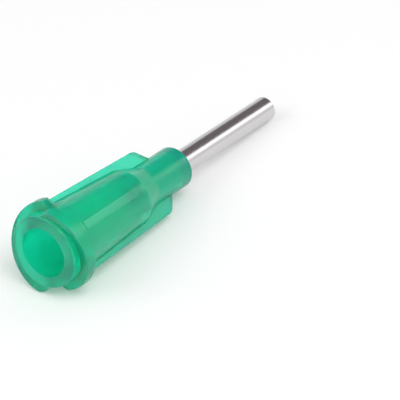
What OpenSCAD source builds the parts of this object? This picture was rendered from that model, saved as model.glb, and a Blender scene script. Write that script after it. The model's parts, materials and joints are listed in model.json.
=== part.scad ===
// Dispensing needle tip: a moulded hub with a female luer socket and two
// helical locking lugs, and a straight steel tube bonded into its nose.
//
// The hub is drawn along +Z from its mouth (z = 0) to its nose, and the whole
// tip is then laid down as it comes to rest, with the tube towards +X and the
// floor at z = 0.

/* [Luer socket] */
// Diameter of the socket at the mouth
socket_mouth_d = 4.3; // [4.2:0.05:4.4]
// Depth of the tapered socket
socket_depth = 10.2; // [8:0.1:10.8]
// Loss of socket diameter for each millimetre of depth
socket_taper = 0.06; // [0.04:0.01:0.08]
// Length of the cone that leads from the socket to the tube
throat_length = 0.6; // [0.3:0.1:1.2]

/* [Mouth and lugs] */
// Diameter of the collar at the mouth
collar_d = 6.3; // [5.8:0.1:6.8]
// Length of the collar
collar_length = 2.85; // [2.4:0.05:3.4]
// Radius of the edge round the mouth
mouth_edge = 0.2; // [0.05:0.05:0.4]
// Diameter over the crests of the two lugs
lug_d = 7.8; // [7.4:0.05:8.2]
// Thickness of a lug at its crest
lug_crest = 0.9; // [0.6:0.05:1.2]
// Extra thickness of a lug at its root, all on the back
lug_flank = 0.55; // [0.3:0.05:0.8]
// Angle that one lug covers
lug_sweep = 163; // [120:1:168]
// Angle from a wing rib to the middle of a lug
lug_angle = 128.5; // [110:0.5:145]
// Distance from the mouth to the front of a lug at its middle
lug_front = 0.75; // [0.6:0.05:1.2]
// Climb of a lug across the full width of the hub
lug_climb = 1.45; // [0.8:0.05:1.6]

/* [Barrel] */
// Diameter of the barrel where it leaves the collar
barrel_root_d = 6.0; // [5.4:0.05:6.2]
// Diameter of the barrel at the shoulder
barrel_end_d = 5.08; // [4.7:0.02:5.4]
// Distance from the mouth to the end of the barrel
barrel_end = 11; // [10.9:0.1:12]

/* [Nose] */
// Length of the sloping shoulder
shoulder_length = 2.15; // [1.2:0.05:2.6]
// Diameter of the nose
nose_d = 3.68; // [3.2:0.02:4.2]
// Length of the whole hub
hub_length = 17.7; // [17:0.1:20]
// Radius of the hollow where the shoulder meets the nose
nose_fillet = 1.6; // [0.6:0.1:2]
// Radius of the edge round the end of the nose
nose_edge = 0.15; // [0.05:0.01:0.25]

/* [Ribs] */
// Thickness of the two wing ribs
wing_thick = 0.8; // [0.5:0.05:1.1]
// Width over the wing ribs at the collar
wing_root_span = 6.78; // [6.4:0.02:7]
// Width over the wing ribs at their free corners
wing_tip_span = 6.0; // [5.4:0.05:6.3]
// Distance from the mouth to the free corners of the wing ribs
wing_end = 14.2; // [13.4:0.1:15]
// Slope of the ends of the wing ribs
wing_sweep = 42; // [20:1:50]
// Radius of the corners of the wing ribs
wing_corner = 1; // [0.3:0.1:1.4]
// Width of the two low ribs
low_rib_width = 0.75; // [0.5:0.05:1.1]
// Height of the low ribs over the barrel
low_rib_height = 0.18; // [0.1:0.01:0.3]
// Distance from the mouth to the end of the low ribs
low_rib_end = 9.4; // [7:0.1:10.4]

/* [Tube] */
// Outside diameter of the tube
tube_d = 2.1; // [1.6:0.05:2.3]
// Inside diameter of the tube
tube_bore_d = 1.65; // [1.1:0.05:1.8]
// Length of the tube outside the hub
tube_reach = 13; // [6:0.1:26]
// Length of the narrow hole between the socket and the end of the tube
tube_stop = 0.5; // [0.3:0.1:1]
// Gap round the tube inside the hub, filled by a film of adhesive
tube_gap = 0.02; // [0.01:0.01:0.05]

/* [Adhesive] */
// Diameter of the well round the tube in the end of the nose
well_d = 2.9; // [2.7:0.02:3]
// Depth of the well
well_depth = 0.6; // [0.3:0.05:1]
// Thickness of the adhesive where it ends on the tube
adhesive_lip = 0.06; // [0.03:0.01:0.1]

/* [Hidden] */
fine = 96;
overlap = 0.3;

// Derived places along the axis
throat_end = socket_depth + throat_length;
tube_seat = throat_end + tube_stop;
tube_end = hub_length + tube_reach;
shoulder_end = barrel_end + shoulder_length;
socket_end_d = socket_mouth_d - socket_taper * socket_depth;
lug_tilt = atan(lug_climb / lug_d);
lug_round = 0.55 * lug_crest;
lug_half = lug_sweep / 2 - asin(2 * lug_round / lug_d);

// Radius of the barrel at a distance from the mouth
function barrel_r(z) =
    let (part = (z - collar_length) / (barrel_end - collar_length))
    (barrel_root_d + (barrel_end_d - barrel_root_d) * part) / 2;

// A corner of an outline is [x, y, radius]. These give its two edges as unit
// vectors away from it, where its arc starts and ends, and the arc's centre.
function flat(corner) = [corner[0], corner[1]];
function unit(from, to) = (flat(to) - flat(from)) / norm(flat(to) - flat(from));
function ends(p, i) =
    let (
        n = len(p),
        back = unit(p[i], p[(i + n - 1) % n]),
        on = unit(p[i], p[(i + 1) % n]),
        reach = p[i][2] / tan(acos(back * on) / 2)
    )
    [flat(p[i]) + reach * back, flat(p[i]) + reach * on];
function centre(p, i) =
    let (
        n = len(p),
        back = unit(p[i], p[(i + n - 1) % n]),
        on = unit(p[i], p[(i + 1) % n])
    )
    flat(p[i]) + p[i][2] / sin(acos(back * on) / 2) * (back + on) / norm(back + on);
function is_hollow(p, i) =
    let (
        n = len(p),
        back = unit(p[i], p[(i + n - 1) % n]),
        on = unit(p[i], p[(i + 1) % n])
    )
    on[0] * back[1] - on[1] * back[0] < 0;

// Fills an outline whose corners run anticlockwise, each with its own radius
module rounded(corners) {
    last = len(corners) - 1;
    difference() {
        union() {
            polygon([
                for (i = [0 : last])
                    each (corners[i][2] > 0 ? ends(corners, i) : [flat(corners[i])])
            ]);
            for (i = [0 : last])
                if (corners[i][2] > 0 && !is_hollow(corners, i))
                    translate(centre(corners, i)) circle(corners[i][2], $fn = fine);
        }
        for (i = [0 : last])
            if (corners[i][2] > 0 && is_hollow(corners, i))
                translate(centre(corners, i)) circle(corners[i][2], $fn = fine);
    }
}

module body() {
    rotate_extrude($fn = fine)
        rounded([
            [0, 0, 0],
            [collar_d / 2, 0, mouth_edge],
            [collar_d / 2, collar_length, 0],
            [barrel_r(collar_length), collar_length, 0],
            [barrel_end_d / 2, barrel_end, 0],
            [nose_d / 2, shoulder_end, nose_fillet],
            [nose_d / 2, hub_length, nose_edge],
            [0, hub_length, 0]
        ]);
}

// A lug is a sector of a ring, tipped about the line through its middle so
// that it climbs along the hub as a right-hand thread does. Its back slopes,
// a cone with the same slope rounds each end, and its crest is true to the hub.
module lug() {
    slope = lug_flank / (lug_d - collar_d) * 2;
    root = collar_d / 2 - 2 * overlap;
    beyond = lug_d / 2 + overlap;
    function rise(r) = slope * (lug_d / 2 - r);
    intersection() {
        cylinder(h = lug_d, d = lug_d, center = true, $fn = fine);
        translate([0, 0, lug_front])
            rotate([lug_tilt, 0, 0])
                intersection() {
                    rotate_extrude($fn = fine)
                        polygon([
                            [root, 0],
                            [beyond, 0],
                            [beyond, lug_crest + rise(beyond)],
                            [root, lug_crest + rise(root)]
                        ]);
                    union() {
                        linear_extrude(lug_d, center = true)
                            polygon([
                                [0, 0],
                                for (turn = [-1 : 0.5 : 1])
                                    lug_d * [cos(turn * lug_half), sin(turn * lug_half)]
                            ]);
                        for (turn = [-lug_half, lug_half])
                            rotate(turn)
                                translate([root, 0, lug_crest / 2])
                                    rotate([0, 90, 0])
                                        cylinder(
                                            h = beyond - root,
                                            r1 = lug_round + rise(root),
                                            r2 = lug_round + rise(beyond),
                                            $fn = fine
                                        );
                    }
                }
    }
}

wing_outline = [
    [0, collar_length - overlap, 0],
    [wing_root_span / 2, collar_length - overlap, 0],
    [wing_tip_span / 2, wing_end, wing_corner],
    [0, wing_end + wing_tip_span / 2 * tan(wing_sweep), 0]
];

module wings() {
    for (side = [0, 180])
        rotate([90, 0, side])
            linear_extrude(wing_thick, center = true) rounded(wing_outline);
}

// The low ribs keep the same height over the barrel and end in a short slope
module low_ribs() {
    root = collar_length - overlap;
    for (side = [90, -90])
        rotate([90, 0, side])
            linear_extrude(low_rib_width, center = true)
                polygon([
                    [barrel_r(low_rib_end) - overlap, root],
                    [barrel_r(root) + low_rib_height, root],
                    [barrel_r(low_rib_end) + low_rib_height, low_rib_end],
                    [barrel_r(low_rib_end) - overlap, low_rib_end + low_rib_height + overlap]
                ]);
}

module socket() {
    entry = 0.1;
    translate([0, 0, -entry])
        cylinder(
            h = socket_depth + entry,
            d1 = socket_mouth_d + socket_taper * entry,
            d2 = socket_end_d,
            $fn = fine
        );
    translate([0, 0, socket_depth])
        cylinder(h = throat_length, d1 = socket_end_d, d2 = tube_bore_d, $fn = fine);
    translate([0, 0, throat_end])
        cylinder(h = hub_length, d = tube_bore_d, $fn = fine);
    translate([0, 0, tube_seat])
        cylinder(h = hub_length, d = tube_d + 2 * tube_gap, $fn = fine);
    translate([0, 0, hub_length - well_depth])
        cylinder(h = hub_length, d = well_d, $fn = fine);
}

// The tip rests on three points: the end of one lug, the start of the other,
// and the rim of the tube. Each is the lowest point of its edge in the
// direction that is down, which is square to the plane through all three.
function back_edge(side, turn) =
    let (
        past = min(lug_round, lug_d / 2 * sin(max(0, abs(turn) - lug_half))),
        round = lug_crest / 2 + sqrt(pow(lug_round, 2) - pow(past, 2)),
        crest = min(lug_crest, round)
    )
    [
        lug_d / 2 * cos(side + lug_angle + turn),
        lug_d / 2 * sin(side + lug_angle + turn),
        lug_front + lug_climb / 2 * sin(turn) + crest / cos(lug_tilt)
    ];
function lug_end(side, way) =
    [for (turn = [lug_half - 4 : 0.25 : lug_sweep / 2]) back_edge(side, way * turn)];
function lowest(points, down) =
    let (depths = [for (p = points) p * down])
    points[search(max(depths), depths)[0]];
function on_tube(down) =
    let (rim = [down[0], down[1]] / norm([down[0], down[1]]) * tube_d / 2)
    [rim[0], rim[1], tube_end];
function square_to(a, b, c) = cross(b - a, c - a) / norm(cross(b - a, c - a));
function settle(down, tries) =
    tries == 0
        ? down
        : settle(
            square_to(on_tube(down), lowest(lug_end(180, 1), down), lowest(lug_end(0, -1), down)),
            tries - 1
        );

down = settle([1, 1, 0], 8);
rest_roll = -atan2(down[1], down[0]);
rest_slope = asin(down[2]);
rest_height = down * on_tube(down);
rest_front = tube_end * cos(rest_slope) + tube_d / 2 * sin(rest_slope);
rest_back = (mouth_edge - collar_d / 2) * sin(rest_slope);
rest_middle = (rest_front + rest_back) / 2;

// Lays a piece that is drawn along +Z down on the floor
module at_rest() {
    translate([-rest_middle, 0, rest_height])
        rotate([0, 90 + rest_slope, 0])
            rotate(rest_roll)
                children();
}

module hub() {
    color("mediumseagreen")
        at_rest()
            difference() {
                union() {
                    body();
                    wings();
                    low_ribs();
                    for (side = [0, 180])
                        rotate(side + lug_angle) lug();
                }
                socket();
            }
}

module tube() {
    color("silver")
        at_rest()
            translate([0, 0, tube_seat])
                difference() {
                    cylinder(h = tube_end - tube_seat, d = tube_d, $fn = fine);
                    translate([0, 0, -overlap])
                        cylinder(h = tube_end, d = tube_bore_d, $fn = fine);
                }
}

// A ring that fills the well and climbs the tube with a hollow face
module adhesive() {
    width = (well_d - tube_d) / 2;
    climb = width - adhesive_lip;
    color("lightcyan")
        at_rest()
            rotate_extrude($fn = fine)
                translate([tube_d / 2, hub_length - well_depth])
                    difference() {
                        square([width, well_depth + climb]);
                        translate([width, well_depth + climb]) circle(climb, $fn = fine);
                    }
}

hub();
tube();
adhesive();
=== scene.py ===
"""Looks of a dispensing needle tip: a green translucent hub, a polished steel
tube bonded into its nose, and the clear ring of adhesive between them.

Every length is in metres unless its name says otherwise, in the frame of the
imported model: +Z up from the floor, the tube pointing along +X.
"""

import json
import logging
import math
from dataclasses import dataclass, field
from enum import Enum

import bpy
from mathutils import Matrix, Vector

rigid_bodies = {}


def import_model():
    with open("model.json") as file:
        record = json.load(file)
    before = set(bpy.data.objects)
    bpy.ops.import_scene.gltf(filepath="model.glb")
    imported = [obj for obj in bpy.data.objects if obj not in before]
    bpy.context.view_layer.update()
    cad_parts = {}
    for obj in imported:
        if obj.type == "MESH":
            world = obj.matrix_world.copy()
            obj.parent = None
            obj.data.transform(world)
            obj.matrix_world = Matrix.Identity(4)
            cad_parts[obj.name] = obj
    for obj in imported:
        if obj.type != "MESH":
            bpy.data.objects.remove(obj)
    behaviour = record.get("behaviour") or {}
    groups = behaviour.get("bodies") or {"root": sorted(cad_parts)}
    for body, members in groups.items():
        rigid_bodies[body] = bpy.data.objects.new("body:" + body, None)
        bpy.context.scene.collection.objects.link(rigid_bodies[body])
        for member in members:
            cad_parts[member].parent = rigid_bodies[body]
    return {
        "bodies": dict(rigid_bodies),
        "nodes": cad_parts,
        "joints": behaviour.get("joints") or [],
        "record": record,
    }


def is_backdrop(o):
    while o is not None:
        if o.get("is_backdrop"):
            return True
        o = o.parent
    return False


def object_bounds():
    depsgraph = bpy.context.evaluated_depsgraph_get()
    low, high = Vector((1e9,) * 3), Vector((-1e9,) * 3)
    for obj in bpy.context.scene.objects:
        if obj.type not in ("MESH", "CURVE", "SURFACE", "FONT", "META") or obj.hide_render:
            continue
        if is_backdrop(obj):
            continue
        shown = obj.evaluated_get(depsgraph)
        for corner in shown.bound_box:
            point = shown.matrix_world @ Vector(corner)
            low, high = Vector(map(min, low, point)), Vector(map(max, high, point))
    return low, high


LOG = logging.getLogger("dispensing_tip")
MM = 0.001

Color = tuple[float, float, float]
WORLD_COLOR = (0.8, 0.8, 0.8, 1.0)
BEVEL_SAMPLES = 6


class Node(Enum):
    """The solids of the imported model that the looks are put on."""

    HUB = "hub"
    TUBE = "tube"
    ADHESIVE = "adhesive"


# --- finishes ---------------------------------------------------------------


@dataclass(frozen=True)
class ShaderTree:
    """A material or a world whose node tree starts with only its output."""

    owner: bpy.types.Material | bpy.types.World

    @classmethod
    def emptied(cls, owner: bpy.types.Material | bpy.types.World) -> "ShaderTree":
        """Clear a tree down to its output.

        Args:
            owner: The material or world that has the tree.

        Returns:
            The tree, ready for nodes.
        """
        owner.use_nodes = True
        nodes = owner.node_tree.nodes
        for node in list(nodes):
            if not node.type.startswith("OUTPUT"):
                nodes.remove(node)
        return cls(owner)

    @classmethod
    def named(cls, name: str) -> "ShaderTree":
        """Make a new material and clear its tree down to the output."""
        return cls.emptied(bpy.data.materials.new(name))

    @property
    def output(self) -> bpy.types.ShaderNode:
        """The output node."""
        nodes = self.owner.node_tree.nodes
        return next(n for n in nodes if n.type.startswith("OUTPUT"))

    def add(self, kind: str, **values: object) -> bpy.types.ShaderNode:
        """Add one shader node.

        Args:
            kind: Blender's name of the node type.
            **values: Attributes of the node, or input values whose spaces are
                written as underscores.

        Returns:
            The new node.
        """
        node = self.owner.node_tree.nodes.new(kind)
        for name, value in values.items():
            socket = name.replace("_", " ")
            matching = [s for s in node.inputs if s.name.lower() == socket.lower()]
            if matching:
                matching[0].default_value = value
            else:
                setattr(node, name, value)
        return node

    def link(
        self, source: bpy.types.NodeSocket, target: bpy.types.NodeSocket
    ) -> None:
        """Join an output socket to an input socket."""
        self.owner.node_tree.links.new(source, target)


@dataclass(frozen=True)
class MouldedPolypropylene:
    """Translucent dyed polypropylene with the soft gloss of a moulded part."""

    name: str = "green polypropylene"
    body: Color = (0.012, 0.80, 0.55)
    through: Color = (0.01, 0.80, 0.56)
    absorption_per_m: float = 300.0
    transmission: float = 0.74
    roughness: float = 0.22
    ior: float = 1.49
    gloss: float = 0.18
    scatter_reach: float = 1.6 * MM
    edge_radius: float = 0.10 * MM
    ripple_size: float = 1.3 * MM
    ripple_height: float = 0.004 * MM
    ripple_strength: float = 0.5
    cloud_scale: float = 420.0
    cloud_lift: float = 1.18
    scatter_by_color: Color = (0.35, 1.0, 0.75)

    def build(self) -> bpy.types.Material:
        """Make the material.

        Returns:
            A material with a clouded surface over an absorbing inside.
        """
        tree = ShaderTree.named(self.name)
        place = tree.add("ShaderNodeTexCoord")
        ripple = tree.add(
            "ShaderNodeTexNoise", Scale=1.0 / self.ripple_size, Detail=3.0
        )
        tree.link(place.outputs["Object"], ripple.inputs["Vector"])
        rounded = tree.add(
            "ShaderNodeBevel", samples=BEVEL_SAMPLES, Radius=self.edge_radius
        )
        bump = tree.add(
            "ShaderNodeBump",
            Strength=self.ripple_strength,
            Distance=self.ripple_height,
        )
        tree.link(ripple.outputs["Fac"], bump.inputs["Height"])
        tree.link(rounded.outputs["Normal"], bump.inputs["Normal"])
        cloud = tree.add("ShaderNodeTexNoise", Scale=self.cloud_scale, Detail=2.0)
        tree.link(place.outputs["Object"], cloud.inputs["Vector"])
        lighter = [min(1.0, c * self.cloud_lift) for c in self.body]
        tone = tree.add("ShaderNodeMix", data_type="RGBA")
        tone.inputs[6].default_value = (*self.body, 1.0)
        tone.inputs[7].default_value = (*lighter, 1.0)
        tree.link(cloud.outputs["Fac"], tone.inputs[0])
        shader = tree.add(
            "ShaderNodeBsdfPrincipled",
            Roughness=self.roughness,
            IOR=self.ior,
            Specular_IOR_Level=self.gloss,
            Transmission_Weight=self.transmission,
            Subsurface_Weight=1.0,
            Subsurface_Scale=self.scatter_reach,
        )
        shader.inputs["Subsurface Radius"].default_value = self.scatter_by_color
        tree.link(tone.outputs[2], shader.inputs["Base Color"])
        tree.link(bump.outputs["Normal"], shader.inputs["Normal"])
        inside = tree.add(
            "ShaderNodeVolumeAbsorption",
            Color=(*self.through, 1.0),
            Density=self.absorption_per_m,
        )
        tree.link(shader.outputs["BSDF"], tree.output.inputs["Surface"])
        tree.link(inside.outputs["Volume"], tree.output.inputs["Volume"])
        return tree.owner


@dataclass(frozen=True)
class DrawnSteel:
    """Polished stainless tube with faint marks along the way it was drawn."""

    name: str = "drawn stainless steel"
    color: Color = (0.66, 0.645, 0.65)
    roughness: float = 0.23
    mark_width: float = 0.05 * MM
    mark_length: float = 9.0 * MM
    mark_depth: float = 0.0006 * MM
    mark_strength: float = 0.6
    least_worn: float = 0.7
    most_worn: float = 1.4
    edge_radius: float = 0.05 * MM

    def build(self, axis: Vector) -> bpy.types.Material:
        """Make the material.

        Args:
            axis: Direction of the tube, along which it was drawn.

        Returns:
            A metal whose marks run along the axis.
        """
        tree = ShaderTree.named(self.name)
        place = tree.add("ShaderNodeTexCoord")
        turn = axis.rotation_difference(Vector((1.0, 0.0, 0.0))).to_euler()
        along = tree.add("ShaderNodeMapping", vector_type="POINT")
        along.inputs["Rotation"].default_value = turn
        along.inputs["Scale"].default_value = (
            1.0 / self.mark_length,
            1.0 / self.mark_width,
            1.0 / self.mark_width,
        )
        tree.link(place.outputs["Object"], along.inputs["Vector"])
        marks = tree.add("ShaderNodeTexNoise", Scale=1.0, Detail=3.0)
        tree.link(along.outputs["Vector"], marks.inputs["Vector"])
        worn = tree.add("ShaderNodeMapRange")
        worn.inputs["To Min"].default_value = self.roughness * self.least_worn
        worn.inputs["To Max"].default_value = self.roughness * self.most_worn
        tree.link(marks.outputs["Fac"], worn.inputs["Value"])
        rounded = tree.add(
            "ShaderNodeBevel", samples=BEVEL_SAMPLES, Radius=self.edge_radius
        )
        bump = tree.add(
            "ShaderNodeBump", Strength=self.mark_strength, Distance=self.mark_depth
        )
        tree.link(marks.outputs["Fac"], bump.inputs["Height"])
        tree.link(rounded.outputs["Normal"], bump.inputs["Normal"])
        shader = tree.add("ShaderNodeBsdfPrincipled", Metallic=1.0)
        shader.inputs["Base Color"].default_value = (*self.color, 1.0)
        tree.link(worn.outputs["Result"], shader.inputs["Roughness"])
        tree.link(bump.outputs["Normal"], shader.inputs["Normal"])
        tree.link(shader.outputs["BSDF"], tree.output.inputs["Surface"])
        return tree.owner


@dataclass(frozen=True)
class ClearAdhesive:
    """Clear glossy cured adhesive, with a painted faint green tint that stands in for the
    green light of the hub behind it.
    """

    name: str = "clear adhesive"
    # painted green tint: the hub's green light seen through the clear adhesive, not the
    # adhesive's own colour
    color: Color = (0.80, 0.95, 0.90)
    roughness: float = 0.05
    ior: float = 1.5
    transmission: float = 0.85
    unevenness: float = 0.01 * MM
    pool_scale: float = 1600.0
    pool_strength: float = 0.6

    def build(self) -> bpy.types.Material:
        """Make the material.

        Returns:
            A clear material with a slightly uneven wet-looking surface.
        """
        tree = ShaderTree.named(self.name)
        place = tree.add("ShaderNodeTexCoord")
        pool = tree.add("ShaderNodeTexNoise", Scale=self.pool_scale, Detail=1.0)
        tree.link(place.outputs["Object"], pool.inputs["Vector"])
        bump = tree.add(
            "ShaderNodeBump", Strength=self.pool_strength, Distance=self.unevenness
        )
        tree.link(pool.outputs["Fac"], bump.inputs["Height"])
        shader = tree.add(
            "ShaderNodeBsdfPrincipled",
            Roughness=self.roughness,
            IOR=self.ior,
            Transmission_Weight=self.transmission,
        )
        shader.inputs["Base Color"].default_value = (*self.color, 1.0)
        tree.link(bump.outputs["Normal"], shader.inputs["Normal"])
        tree.link(shader.outputs["BSDF"], tree.output.inputs["Surface"])
        return tree.owner


@dataclass(frozen=True)
class WhiteGround:
    """Pale floor that looks white and still takes the object's shadow."""

    name: str = "white ground"
    color: Color = (0.86, 0.86, 0.86)
    glow: float = 0.17

    def build(self) -> bpy.types.Material:
        """Make the material.

        Returns:
            A diffuse white with a little light of its own to the eye, to
            reflections and through clear pieces.
        """
        tree = ShaderTree.named(self.name)
        paper = tree.add("ShaderNodeBsdfDiffuse", Color=(*self.color, 1.0))
        light = tree.add("ShaderNodeEmission")
        direct = seen_directly(tree)
        strength = tree.add("ShaderNodeMath", operation="MULTIPLY")
        strength.inputs[1].default_value = self.glow
        tree.link(direct, strength.inputs[0])
        tree.link(strength.outputs[0], light.inputs["Strength"])
        both = tree.add("ShaderNodeAddShader")
        tree.link(paper.outputs[0], both.inputs[0])
        tree.link(light.outputs[0], both.inputs[1])
        tree.link(both.outputs[0], tree.output.inputs["Surface"])
        return tree.owner


@dataclass(frozen=True)
class MatteCard:
    """Studio card that only reflections see."""

    name: str
    color: Color
    strength: float

    def build(self) -> bpy.types.Material:
        """Make the material.

        Returns:
            An even tone that needs no light on it.
        """
        tree = ShaderTree.named(self.name)
        tone = tree.add(
            "ShaderNodeEmission", Color=(*self.color, 1.0), Strength=self.strength
        )
        tree.link(tone.outputs[0], tree.output.inputs["Surface"])
        return tree.owner


def seen_directly(tree: ShaderTree) -> bpy.types.NodeSocket:
    """Make a value that is 1 to the eye, in reflections and through clear pieces.

    Args:
        tree: Tree that gets the nodes.

    Returns:
        The socket with the value.
    """
    path = tree.add("ShaderNodeLightPath")
    value = path.outputs["Is Camera Ray"]
    for kind in ("Is Glossy Ray", "Is Transmission Ray"):
        larger = tree.add("ShaderNodeMath", operation="MAXIMUM")
        tree.link(value, larger.inputs[0])
        tree.link(path.outputs[kind], larger.inputs[1])
        value = larger.outputs[0]
    return value


# --- the object -------------------------------------------------------------


@dataclass
class Tip:
    """The dispensing tip: its solids from the model, dressed."""

    frame: dict
    plastic: MouldedPolypropylene = field(default_factory=MouldedPolypropylene)
    steel: DrawnSteel = field(default_factory=DrawnSteel)
    adhesive: ClearAdhesive = field(default_factory=ClearAdhesive)

    def axis(self) -> Vector:
        """Direction of the tube, as the model's mount gives it."""
        mounts = {m["name"]: m for m in self.frame["record"]["mounts"]}
        return Vector(mounts["tube_end"]["axis"]).normalized()

    def dress(self) -> None:
        """Give each solid its finish."""
        finishes = {
            Node.HUB: self.plastic.build(),
            Node.TUBE: self.steel.build(self.axis()),
            Node.ADHESIVE: self.adhesive.build(),
        }
        for node, material in finishes.items():
            solid = self.frame["nodes"][node.value]
            solid.data.materials.clear()
            solid.data.materials.append(material)
            LOG.info("%s: %s", node.value, material.name)


# --- the studio -------------------------------------------------------------


def flat_sheet(
    name: str, width: float, height: float, material: bpy.types.Material
) -> bpy.types.Object:
    """Add a flat sheet in the XY plane, centred on the origin, as stage.

    Args:
        name: Name of the sheet.
        width: Size along X.
        height: Size along Y.
        material: Its material.

    Returns:
        The sheet.
    """
    w, h = width / 2, height / 2
    corners = [(-w, -h, 0.0), (w, -h, 0.0), (w, h, 0.0), (-w, h, 0.0)]
    mesh = bpy.data.meshes.new(name)
    mesh.from_pydata(corners, [], [(0, 1, 2, 3)])
    mesh.materials.append(material)
    sheet = bpy.data.objects.new(name, mesh)
    bpy.context.collection.objects.link(sheet)
    sheet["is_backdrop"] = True
    return sheet


@dataclass
class Stage:
    """Floor and world round the object."""

    floor_half: float = 1.5
    world_light: float = 0.75

    def build(self) -> None:
        """Make the floor and the world."""
        self.lay_floor()
        self.fill_world()

    def lay_floor(self) -> None:
        """Make the floor as one large sheet under the object."""
        side = 2 * self.floor_half
        flat_sheet("floor", side, side, WhiteGround().build())

    def fill_world(self) -> None:
        """Fill the world with a soft light that looks white where it is seen."""
        world = bpy.data.worlds.new("studio")
        bpy.context.scene.world = world
        tree = ShaderTree.emptied(world)
        strength = tree.add("ShaderNodeMix", data_type="FLOAT")
        tree.link(seen_directly(tree), strength.inputs["Factor"])
        strength.inputs["A"].default_value = self.world_light
        strength.inputs["B"].default_value = 1.0
        light = tree.add("ShaderNodeBackground", Color=WORLD_COLOR)
        tree.link(strength.outputs["Result"], light.inputs["Strength"])
        tree.link(light.outputs["Background"], tree.output.inputs["Surface"])


@dataclass(frozen=True)
class Placing:
    """A place round the object, as a direction and a distance from it."""

    azimuth_deg: float
    elevation_deg: float
    distance: float

    def direction(self) -> Vector:
        """Unit vector from the object to the place."""
        azimuth = math.radians(self.azimuth_deg)
        elevation = math.radians(self.elevation_deg)
        return Vector(
            (
                math.cos(elevation) * math.cos(azimuth),
                math.cos(elevation) * math.sin(azimuth),
                math.sin(elevation),
            )
        )

    def point(self, aim: Vector) -> Vector:
        """The place itself, for an object at aim."""
        return aim + self.direction() * self.distance

    def facing(self, aim: Vector, roll_deg: float = 0.0) -> Matrix:
        """Placement of something there that looks at the object.

        Args:
            aim: The point looked at.
            roll_deg: Turn about the line of sight, clockwise as seen from it.

        Returns:
            A matrix whose -Z axis points at aim.
        """
        away = self.direction()
        turn = away.to_track_quat("Z", "Y").to_matrix().to_4x4()
        roll = Matrix.Rotation(math.radians(roll_deg), 4, "Z")
        return Matrix.Translation(self.point(aim)) @ turn @ roll


@dataclass(frozen=True)
class SoftBox:
    """A soft lamp."""

    name: str
    place: Placing
    width: float
    height: float
    power: float

    def build(self, aim: Vector) -> None:
        """Hang the lamp so that it lights the object.

        Args:
            aim: Middle of the object.
        """
        lamp = bpy.data.lights.new(self.name, "AREA")
        lamp.shape = "RECTANGLE"
        lamp.size, lamp.size_y = self.width, self.height
        lamp.energy = self.power
        holder = bpy.data.objects.new(self.name, lamp)
        holder.matrix_world = self.place.facing(aim)
        bpy.context.collection.objects.link(holder)
        LOG.info("lamp %s", self.name)


@dataclass(frozen=True)
class Card:
    """A studio card that the metal and the plastic reflect."""

    name: str
    place: Placing
    width: float
    height: float
    finish: MatteCard
    roll_deg: float = 0.0

    def build(self, aim: Vector) -> None:
        """Stand the card where only reflections see it.

        Args:
            aim: Middle of the object.
        """
        card = flat_sheet(self.name, self.width, self.height, self.finish.build())
        card.matrix_world = self.place.facing(aim, self.roll_deg)
        card.visible_camera = False
        card.visible_diffuse = False
        card.visible_transmission = False
        card.visible_shadow = False
        LOG.info("card %s", self.name)


@dataclass(frozen=True)
class Viewpoint:
    """The camera."""

    place: Placing = Placing(-142.359, 34.786, 283.565 * MM)
    aim: Vector = Vector((0.717 * MM, -3.816 * MM, 1.362 * MM))
    roll_deg: float = -2.337
    lens_mm: float = 307.327
    sensor_mm: float = 36.0

    def build(self) -> None:
        """Make the camera and make it the scene's own."""
        data = bpy.data.cameras.new("camera")
        data.lens = self.lens_mm
        data.sensor_width = self.sensor_mm
        data.clip_start = 10 * MM
        data.clip_end = 10.0
        camera = bpy.data.objects.new("camera", data)
        camera.matrix_world = self.place.facing(self.aim, self.roll_deg)
        bpy.context.collection.objects.link(camera)
        bpy.context.scene.camera = camera


@dataclass
class Studio:
    """Everything round the object: stage, lamps, cards and camera."""

    aim: Vector
    stage: Stage = field(default_factory=Stage)
    viewpoint: Viewpoint = field(default_factory=Viewpoint)
    lamps: tuple[SoftBox, ...] = (
        SoftBox("key lamp", Placing(-100.0, 62.0, 0.40), 0.22, 0.22, 0.55),
        SoftBox("fill lamp", Placing(150.0, 40.0, 0.45), 0.30, 0.20, 0.35),
    )
    cards: tuple[Card, ...] = (
        Card(
            "dark ceiling",
            Placing(9.3, 48.8, 0.30),
            0.30,
            0.40,
            MatteCard("dark card", (0.17, 0.15, 0.16), 1.0),
        ),
        Card(
            "bright strip",
            Placing(-44.0, 26.0, 0.30),
            0.30,
            0.08,
            MatteCard("white card", (1.0, 1.0, 1.0), 2.0),
        ),
    )

    def build(self) -> None:
        """Set the whole studio up."""
        bpy.context.scene.view_settings.view_transform = "Standard"
        self.viewpoint.build()
        self.stage.build()
        for piece in (*self.lamps, *self.cards):
            piece.build(self.aim)


def main() -> None:
    """Load the model, dress it and light it."""
    logging.basicConfig(level=logging.INFO, format="%(name)s %(message)s")
    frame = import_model()
    cad_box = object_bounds()
    middle = (Vector(cad_box[0]) + Vector(cad_box[1])) / 2
    Studio(aim=middle).build()
    Tip(frame).dress()


if __name__ == "__main__":
    main()
